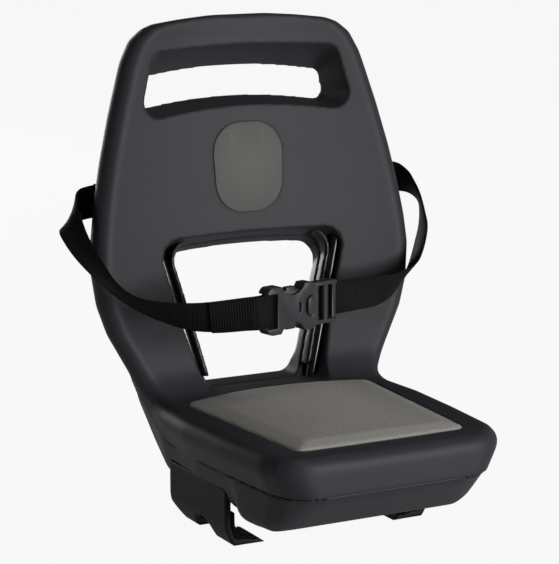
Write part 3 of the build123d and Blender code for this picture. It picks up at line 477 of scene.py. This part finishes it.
def rearSoftness(x, y, z):
    side, front, rear, ceiling = shellSizes["pocket"]
    if abs(x) > side and front < y < rear and z < ceiling:
        return 0
    inner, outer, low, high = shellSizes["guides"]
    if inner < abs(x) < outer and low < z < high:
        return 0
    if onRim(x, y, z):
        return shellSizes["rimShare"]
    weight = between(-partingDistance(y, z), *shellSizes["partingEdge"])
    for name in openingSizes:
        weight *= lipWeight(name, x, z, shellSizes["rearLipShare"], shellSizes["rearLipEdge"])
    return weight


def traySoftness(x, y, z):  # the tray's own edges and corners, clear of its pockets and screws
    weight = between(-partingDistance(y, z), *traySizes["partingEdge"])
    clear = max(traySizes["middle"] - abs(x), traySizes["front"] - y)
    weight *= between(clear, *traySizes["clearEdge"]) * (1 - between(y, *traySizes["rearEdge"]))
    return weight * between(screwDistance(x, y), *traySizes["screwEdge"])


def noseShift(x, y, z):  # ahead of the clamps the tray stands fuller and lower, and its front leans back
    share = between(shellSizes["panParting"] - z, 0, traySizes["deep"])
    ahead = 1 - eased(between(y, *traySizes["dipSpan"]))
    clear = between(screwDistance(x, y), *traySizes["screwRoom"])
    back = traySizes["rake"] * share * (1 - between(y, *traySizes["rakeSpan"])) * clear
    out = math.copysign(traySizes["flare"] * share * ahead * between(abs(x), *traySizes["flareSpan"]), x)
    down = traySizes["dip"] * share * ahead * clear
    return Vector((out, back, -down)) * mm


def fillCorners(piece):  # a round of plastic inside each front corner of the tray, where its wall is thin
    x, y, z = traySizes["corner"]
    pick(piece)
    bpy.ops.object.mode_set(mode="EDIT")
    for side in (-1, 1):
        bpy.ops.mesh.primitive_uv_sphere_add(
            segments=24, ring_count=12, radius=traySizes["cornerRadius"] * mm,
            location=(side * x * mm, y * mm, z * mm))
    bpy.ops.object.mode_set(mode="OBJECT")


def soften(piece, softness, passes):
    group = piece.vertex_groups.new(name="soft")
    for vertex in piece.data.vertices:
        weight = softness(*(vertex.co / mm))
        if weight > 0:
            group.add([vertex.index], weight, "REPLACE")
    applyModifier(
        piece, "SMOOTH", factor=meshHabits["smoothing"], iterations=passes, vertex_group="soft")
    piece.vertex_groups.clear()


def cutSeam(piece):  # a narrow shadow gap along the parting
    low, full, high, deep = shellSizes["seam"]
    shifts = []
    for vertex in piece.data.vertices:
        ahead = partingDistance(vertex.co.y / mm, vertex.co.z / mm)
        share = eased(between(ahead, low, full)) if ahead < high else 0
        shifts.append(vertex.normal * -deep * share * mm)
    for vertex, shift in zip(piece.data.vertices, shifts):
        vertex.co += shift


def meshShell(piece):
    applyModifier(piece, "REMESH", mode="VOXEL", voxel_size=shellSizes["voxel"] * mm)


def finishShell(piece, node):
    share = shellSizes["triangles"] / (2 * len(piece.data.polygons))
    applyModifier(piece, "DECIMATE", decimate_type="COLLAPSE", ratio=min(share, 1))
    pick(piece)
    bpy.ops.object.shade_smooth()
    dress(piece, node, "seat", polypropylene)
    print(piece.name, len(piece.data.polygons), "faces, kept", round(share, 2))


frontShell = nodeCopy("front_shell", "frontShell")
meshShell(frontShell)
applyModifier(frontShell, "SMOOTH", factor=meshHabits["smoothing"], iterations=1)
soften(frontShell, frontSoftness, shellSizes["passes"])
finishShell(frontShell, "front_shell")

rearShell = nodeCopy("rear_shell", "rearShell")
fillCorners(rearShell)
meshShell(rearShell)
for vertex in rearShell.data.vertices:
    vertex.co += noseShift(*(vertex.co / mm))
applyModifier(rearShell, "SMOOTH", factor=meshHabits["smoothing"], iterations=1)
soften(rearShell, rearSoftness, shellSizes["passes"])
soften(rearShell, traySoftness, traySizes["passes"])
cutSeam(rearShell)
finishShell(rearShell, "rear_shell")
# the rim's faces inside the opening, except those facing back, take the near-black material: painted shade
rearShell.data.materials.append(shadePaintedRim)
for face in rearShell.data.polygons:
    if onRim(*(face.center / mm)) and face.normal.y < shellSizes["rimFacing"]:
        face.material_index = 1

# Seat pad: moulded foam that slopes up from its edge to a crowned top
pad = nodeCopy("seat_pad", "seatPad")
applyModifier(pad, "REMESH", mode="VOXEL", voxel_size=padSizes["voxel"] * mm)
for vertex in pad.data.vertices:
    x, y, z = vertex.co / mm
    inside = padInside(x, y)
    height = padSizes["edge"] + padSizes["rise"] * between(inside, 0, padSizes["slope"])
    height += padSizes["crown"] * eased(between(inside, 0, padSizes["crownReach"]))
    share = (z - padSizes["bottom"]) / (padSizes["top"] - padSizes["bottom"])
    vertex.co.z = (padSizes["bottom"] + share * (height - padSizes["bottom"])) * mm
applyModifier(pad, "SMOOTH", factor=meshHabits["smoothing"], iterations=padSizes["passes"])
applyModifier(pad, "SUBSURF", levels=1, render_levels=1)
pick(pad)
bpy.ops.object.shade_smooth()
dress(pad, "seat_pad", "seat", foam)
print("seat pad:", len(pad.data.polygons), "faces")

# Waist strap: one length of webbing, folded round a bar at each end of the buckle
# runs beside the buckle are along it and out of it, the others are a middle and the way up across the webbing
strapSizes = {
    "width": 25, "thick": 1.6, "selvedge": 0.7, "steps": 8, "barThick": 4, "turn": 6, "creaseAngle": 50,
    "sewnEnd": 46, "tail": 26, "spread": 5.6, "close": 1.8, "closeSpan": (4, 22),
    "buckle": (-3, 9, 135.5), "yaw": 13, "leftBar": -32.4, "rightBar": 23.4, "fold": 15,
    "rightRun": ((52, -4.8), (37, -4.8), (30, -4.4)),
    "tailRun": ((25.8, 2.5), (28.2, 0), (30.6, -2.5), (33, -3), (36, -3)),
    "rear": (-113, -103, 103, 113), "rearY": 124.3, "rearZ": 208.1, "rearUp": (0, 0.125, 1),
    "left": (
        ((-85, 18, 133), (-0.16, -0.3, 0.93)), ((-113, 42, 138), (-0.32, -0.72, 0.64)),
        ((-131, 58, 150), (-0.24, -0.84, 0.48)), ((-145, 78, 173), (0.1, -0.8, 0.6)),
        ((-149.5, 95, 189), (0.36, -0.76, 0.55)), ((-148, 106, 199), (0.45, -0.2, 0.87)),
        ((-134, 120, 206), (0.15, 0, 0.98)),
    ),
    "right": (
        ((142, 123, 209), (-0.1, 0, 0.99)), ((154, 111, 204), (-0.36, -0.44, 0.8)),
        ((156, 97, 192), (-0.44, -0.84, 0.28)), ((153, 88, 170), (-0.32, -0.94, 0.04)),
        ((132.5, 68, 145.2), (-0.36, -0.92, 0.16)), ((108, 56, 133), (-0.4, -0.6, 0.68)),
        ((85, 49, 131), (-0.14, -0.1, 0.98)),
    ),
}
yaw = math.radians(strapSizes["yaw"])
alongBuckle = Vector((math.cos(yaw), math.sin(yaw), 0))
outOfBuckle = Vector((math.sin(yaw), -math.cos(yaw), 0))
upright = Vector((0, 0, 1))
layer = (strapSizes["barThick"] + strapSizes["thick"]) / 2


def atBuckle(along, out):
    return Vector(strapSizes["buckle"]) + alongBuckle * along + outOfBuckle * out


def curveBetween(points, share):  # smooth curve between the middle two of four points
    start, first, second, end = points
    bend = (first * 3 - second * 3 + end - start) * share ** 3
    bow = (start * 2 - first * 5 + second * 4 - end) * share ** 2
    return first + ((second - start) * share + bow + bend) / 2


stations = [(atBuckle(strapSizes["leftBar"], -layer), upright)]
stations.append((atBuckle(strapSizes["leftBar"] - strapSizes["fold"], -layer), upright))
stations += [(Vector(middle), Vector(upward)) for middle, upward in strapSizes["left"]]
for x in strapSizes["rear"]:
    stations.append((Vector((x, strapSizes["rearY"], strapSizes["rearZ"])), Vector(strapSizes["rearUp"])))
stations += [(Vector(middle), Vector(upward)) for middle, upward in strapSizes["right"]]
stations += [(atBuckle(along, out), upright) for along, out in strapSizes["rightRun"]]
stations.append((atBuckle(strapSizes["rightBar"], -layer), upright))

middles = [middle for middle, upward in stations]
middles = [middles[0] * 2 - middles[1], *middles, middles[-1] * 2 - middles[-2]]
upwards = [upward for middle, upward in stations]
upwards = [upwards[0], *upwards, upwards[-1]]
route = []
for spot in range(len(stations) - 1):
    for step in range(strapSizes["steps"]):
        share = step / strapSizes["steps"]
        middle = curveBetween(middles[spot:spot + 4], share)
        route.append((middle, curveBetween(upwards[spot:spot + 4], share)))
route.append(stations[-1])


def sewnLayer(run, reach, spread):  # second layer on the front of the first, from the bar outwards
    points = []
    gone = 0
    for spot, (middle, upward) in enumerate(run):
        if spot > 0:
            gone += (middle - run[spot - 1][0]).length
        if gone > reach:
            break
        before = run[max(spot - 1, 0)][0]
        ahead = run[min(spot + 1, len(run) - 1)][0]
        outward = (ahead - before).cross(upward).normalized()
        if outward.y > 0:
            outward.negate()
        apart = spread + (strapSizes["close"] - spread) * eased(between(gone, *strapSizes["closeSpan"]))
        points.append((middle + outward * apart, upward))
    return points


def barTurn(bar, side):  # half turn round a bar, from the rear layer to the front one
    points = []
    for step in range(1, strapSizes["turn"]):
        angle = math.pi * step / strapSizes["turn"] - math.pi / 2
        points.append((atBuckle(bar + side * layer * math.cos(angle), layer * math.sin(angle)), upright))
    return points


leftLayer = sewnLayer(route, strapSizes["sewnEnd"], strapSizes["spread"])
tailStart = 2 * strapSizes["steps"]  # where the standing part has passed the end bar
rightLayer = [(atBuckle(along, out), upright) for along, out in strapSizes["tailRun"]]
rightLayer += sewnLayer(route[::-1][tailStart:], strapSizes["tail"], strapSizes["close"])
ribbon = leftLayer[::-1] + barTurn(strapSizes["leftBar"], 1)[::-1] + route
ribbon += barTurn(strapSizes["rightBar"], -1) + rightLayer

halfWide = strapSizes["width"] / 2
halfThin = strapSizes["thick"] / 2
flat = halfWide - strapSizes["selvedge"]
section = [(-halfWide, 0), (-flat, halfThin), (0, halfThin), (flat, halfThin)]
section += [(halfWide, 0), (flat, -halfThin), (0, -halfThin), (-flat, -halfThin)]
corners = []
lengths = []
gone = 0
for spot, (middle, upward) in enumerate(ribbon):
    before = ribbon[max(spot - 1, 0)][0]
    ahead = ribbon[min(spot + 1, len(ribbon) - 1)][0]
    forward = (ahead - before).normalized()
    across = (upward - forward * forward.dot(upward)).normalized()
    out = forward.cross(across)
    if spot > 0:
        gone += (middle - before).length
    lengths.append(gone * mm)
    corners += [(middle + across * wide + out * thin) * mm for wide, thin in section]
sides = len(section)
faces = [list(range(sides))[::-1], [len(corners) - sides + place for place in range(sides)]]
for spot in range(len(ribbon) - 1):
    for place in range(sides):
        beside = (place + 1) % sides
        faces.append([spot * sides + place, spot * sides + beside,
                      (spot + 1) * sides + beside, (spot + 1) * sides + place])
strapMesh = bpy.data.meshes.new("waistStrap")
strapMesh.from_pydata(corners, [], faces)
strap = bpy.data.objects.new("waistStrap", strapMesh)
bpy.context.scene.collection.objects.link(strap)
strapMap = strapMesh.uv_layers.new(name="strapMap")
for loop in strapMesh.loops:
    row, place = divmod(loop.vertex_index, sides)
    strapMap.data[loop.index].uv = (lengths[row], (section[place][0] + halfWide) * mm)
pick(strap)
bpy.ops.object.mode_set(mode="EDIT")
bpy.ops.mesh.select_all(action="SELECT")
bpy.ops.mesh.normals_make_consistent(inside=False)
bpy.ops.object.mode_set(mode="OBJECT")
bpy.ops.object.shade_smooth_by_angle(angle=math.radians(strapSizes["creaseAngle"]))
dress(strap, "waist_strap", "seat", webbing)
print("waist strap:", round(lengths[-1] / mm), "mm long")

# Small mouldings and fasteners: the CAD shape with its edges rounded
edgeSizes = {"buckle": 0.6, "button": 0.5, "fastener": 0.25, "inlay": 0.4, "segments": 2}
buckleSizes = {  # ovals are along, half width, half height, depth
    "face": 5.5, "ovals": ((6, 4.7, 8.3, 2.0), (-4.5, 1.6, 4.3, 2.0)), "ovalSides": 48,
}


def cutOval(piece, along, half, tall, deep):
    bpy.ops.object.select_all(action="DESELECT")
    bpy.ops.mesh.primitive_cylinder_add(
        vertices=buckleSizes["ovalSides"], radius=mm, depth=2 * deep * mm)
    cutter = bpy.context.active_object
    cutter.scale = (half, tall, 1)
    cutter.rotation_euler = Matrix((alongBuckle, upright, outOfBuckle)).transposed().to_euler()
    cutter.location = atBuckle(along, buckleSizes["face"]) * mm
    applyModifier(piece, "BOOLEAN", object=cutter, operation="DIFFERENCE", solver="EXACT")
    bpy.data.objects.remove(cutter)


def roundedCopy(node, name, body, material, width, ovals=()):
    piece = nodeCopy(node, name)
    applyModifier(
        piece, "DECIMATE", decimate_type="DISSOLVE", angle_limit=math.radians(meshHabits["flatAngle"]))
    for oval in ovals:
        cutOval(piece, *oval)
    applyModifier(
        piece, "BEVEL", width=width * mm, segments=edgeSizes["segments"],
        limit_method="ANGLE", angle_limit=math.radians(meshHabits["bevelAngle"]))
    pick(piece)
    bpy.ops.object.shade_smooth_by_angle(angle=math.radians(meshHabits["creaseAngle"]))
    dress(piece, node, body, material)


roundedCopy(
    "buckle_housing", "buckleHousing", "seat", acetal, edgeSizes["buckle"], buckleSizes["ovals"])
roundedCopy("buckle_tongue", "buckleTongue", "seat", acetal, edgeSizes["buckle"])
roundedCopy("release_button", "releaseButton", "button", acetal, edgeSizes["button"])

# Clamps: the plate runs into each claw in one curve, and the claw thins towards its tip
clampSizes = {
    "voxel": 0.9, "passes": 4, "outer": 88, "bottom": -30, "clawTop": -5,
    "curve": (10, 30, 7),  # from and to which depth, and how far inwards
    "taper": (12, 26, 0.6),  # from and to which reach, and how much thinner
}


def curvedClaw(node, name, body, material):
    piece = nodeCopy(node, name)
    applyModifier(piece, "REMESH", mode="VOXEL", voxel_size=clampSizes["voxel"] * mm)
    applyModifier(piece, "SMOOTH", factor=meshHabits["smoothing"], iterations=clampSizes["passes"])
    start, end, reach = clampSizes["curve"]
    root, tip, thinner = clampSizes["taper"]
    for vertex in piece.data.vertices:
        x, y, z = vertex.co / mm
        if z < clampSizes["clawTop"]:
            thin = 1 - thinner * between(clampSizes["outer"] - abs(x), root, tip)
            lowered = clampSizes["bottom"] + (z - clampSizes["bottom"]) * thin
            inward = reach * between(-z, start, end) ** 2
            vertex.co.x = math.copysign(abs(x) - inward, x) * mm
            vertex.co.z = lowered * mm
    pick(piece)
    bpy.ops.object.shade_smooth()
    dress(piece, node, body, material)


for side in ("left", "right"):
    curvedClaw(side + "_clamp", side + "Clamp", side + "_jaw", nylon)
    for row in ("front", "rear"):
        curvedClaw(f"{side}_{row}_lining", side + row.title() + "Lining", side + "_jaw", rubber)
    stay = nodeCopy(side + "_stay", side + "Stay")
    bpy.ops.object.shade_smooth_by_angle(angle=math.radians(meshHabits["creaseAngle"]))
    dress(stay, side + "_stay", "seat", powderCoat)
fasteners = {
    "clamp_bolts": "clampBolts", "clamp_washers": "clampWashers", "clamp_nuts": "clampNuts",
    "shell_screws": "shellScrews",
}
for node, name in fasteners.items():
    roundedCopy(node, name, "seat", zinc, edgeSizes["fastener"])
roundedCopy("back_inlay", "backInlay", "seat", inlayPlastic, edgeSizes["inlay"])
print("small mouldings done")

# Studio: a pale floor, a surround that looks white, and broad soft lamps
# shown and mirrored are how white the floor looks to the camera and in a gloss, surround is the world's light
studio = {
    "floor": 40, "floorColour": "b4b4b4", "floorRoughness": 0.9, "shown": 0.93, "mirrored": 0.25,
    "surround": 0.045, "white": (1, 1, 1, 1),
}
bpy.ops.object.select_all(action="DESELECT")
bpy.ops.mesh.primitive_plane_add(size=studio["floor"], location=(0, 0, cadBounds[0][2]))
floor = bpy.context.active_object
floor.name = "studioFloor"
paleFloor = bpy.data.materials.new("paleFloor")
paleFloor.use_nodes = True
shader = paleFloor.node_tree.nodes["Principled BSDF"]
shader.inputs["Base Color"].default_value = linearColour(studio["floorColour"])
shader.inputs["Roughness"].default_value = studio["floorRoughness"]
output = paleFloor.node_tree.nodes["Material Output"]
rays = addNode(paleFloor, "ShaderNodeLightPath", {})
seen = addNode(paleFloor, "ShaderNodeMath", {
    0: rays.outputs["Is Camera Ray"], 1: studio["shown"]}, operation="MULTIPLY")
mirrored = addNode(paleFloor, "ShaderNodeMath", {
    0: rays.outputs["Is Glossy Ray"], 1: studio["mirrored"]}, operation="MULTIPLY")
share = addNode(paleFloor, "ShaderNodeMath", {
    0: seen.outputs[0], 1: mirrored.outputs[0]}, operation="MAXIMUM")
white = addNode(paleFloor, "ShaderNodeEmission", {"Color": studio["white"], "Strength": 1.0})
blend = addNode(paleFloor, "ShaderNodeMixShader", {
    0: share.outputs[0], 1: shader.outputs[0], 2: white.outputs[0]})
paleFloor.node_tree.links.new(blend.outputs[0], output.inputs["Surface"])
floor.data.materials.append(paleFloor)

world = bpy.data.worlds.new("studioSurround")
bpy.context.scene.world = world
world.use_nodes = True
surround = world.node_tree.nodes["Background"]
rays = addNode(world, "ShaderNodeLightPath", {})
seen = addNode(world, "ShaderNodeMath", {
    0: rays.outputs["Is Camera Ray"], 1: rays.outputs["Is Transmission Ray"]}, operation="MAXIMUM")
level = addNode(world, "ShaderNodeMapRange", {
    "Value": seen.outputs[0], "To Min": studio["surround"], "To Max": 1.0})
surround.inputs["Color"].default_value = studio["white"]
world.node_tree.links.new(level.outputs[0], surround.inputs["Strength"])

lamps = (  # place, aim, size, watts
    ((1.0, -2.1, 0.42), (0, 0, 0.15), 1.2, 26),
    ((0.2, -0.9, 1.9), (0, 0, 0.1), 1.0, 3),
    ((1.7, 0.9, 0.7), (0, 0.05, 0.2), 1.2, 1),
    ((0.6, -1.5, 0.1), (0, -0.1, 0), 0.25, 3),
    ((-0.2, 2.4, 0.4), (0, 0.1, 0.2), 1.4, 22),
    ((-2.1, 1.1, 0.5), (0, 0.05, 0.15), 1.2, 1.5),
)
for number, (spot, aim, size, watts) in enumerate(lamps):
    bpy.ops.object.light_add(type="AREA", location=spot)
    lamp = bpy.context.active_object
    lamp.name = f"softbox{number}"
    lamp.data.size = size
    lamp.data.energy = watts
    lamp.rotation_euler = (Vector(aim) - Vector(spot)).to_track_quat("-Z", "Y").to_euler()

view = {  # metres and degrees, with the focal length in pixels of a frame 564 pixels tall
    "place": (-0.7889, -1.43652, 0.47934), "azimuth": 28.0, "tilt": 11.2,
    "focalPixels": 2230, "framePixels": 564, "sensor": 36,
}
bpy.ops.object.camera_add(location=view["place"])
camera = bpy.context.active_object
camera.rotation_euler = (math.radians(90 - view["tilt"]), 0, math.radians(-view["azimuth"]))
camera.data.lens = view["focalPixels"] / view["framePixels"] * view["sensor"]
camera.data.sensor_width = view["sensor"]
bpy.context.scene.camera = camera
bpy.context.scene.view_settings.view_transform = "Standard"
print("studio done")
